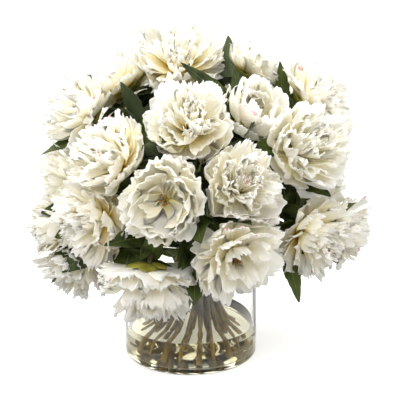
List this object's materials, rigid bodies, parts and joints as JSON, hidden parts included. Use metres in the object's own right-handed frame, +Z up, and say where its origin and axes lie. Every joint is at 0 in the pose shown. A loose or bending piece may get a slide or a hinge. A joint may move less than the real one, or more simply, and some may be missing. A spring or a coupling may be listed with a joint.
{
  "type": "bouquet of double peonies in a glass vase",
  "caption": "Full round bouquet of double white peonies with dark leaves, standing in a clear cylindrical glass vase with a little water.",
  "frame": {"origin": "centre of the vase's flat underside, on the surface it stands on", "axes": "+Z up along the vase's axis, -Y towards the front of the bouquet, +X to the right seen from the front"},
  "size_m": [0.5113, 0.4697, 0.5109],
  "materials": {
    "glass": "gloss",
    "water": "gloss",
    "stem": "matte",
    "petal": "matte",
    "leaf": "satin"
  },
  "bodies": {
    "root": {"vase": "glass", "water": "water", "stem_01": "stem", "stem_02": "stem", "stem_03": "stem", "stem_04": "stem", "stem_05": "stem", "stem_06": "stem", "stem_07": "stem", "stem_08": "stem", "stem_09": "stem", "stem_10": "stem", "stem_11": "stem", "stem_12": "stem", "stem_13": "stem", "stem_14": "stem", "bloom_01": "petal", "bloom_02": "petal", "bloom_03": "petal", "bloom_04": "petal", "bloom_05": "petal", "bloom_06": "petal", "bloom_07": "petal", "bloom_08": "petal", "bloom_09": "petal", "bloom_10": "petal", "bloom_11": "petal", "bloom_12": "petal", "bloom_13": "petal", "bloom_14": "petal", "bloom_15": "petal", "bloom_16": "petal", "bloom_17": "petal", "bloom_18": "petal", "bloom_19": "petal", "bloom_20": "petal", "bloom_21": "petal", "bloom_22": "petal", "bloom_23": "petal", "bloom_24": "petal", "bloom_25": "petal", "bloom_26": "petal", "bloom_27": "petal", "bloom_28": "petal", "leaf_01": "leaf", "leaf_02": "leaf", "leaf_03": "leaf", "leaf_04": "leaf", "leaf_05": "leaf", "leaf_06": "leaf", "leaf_07": "leaf", "leaf_08": "leaf", "leaf_09": "leaf", "leaf_10": "leaf", "leaf_11": "leaf", "leaf_12": "leaf", "leaf_13": "leaf", "leaf_14": "leaf", "leaf_15": "leaf", "leaf_16": "leaf"}
  },
  "joints": []
}
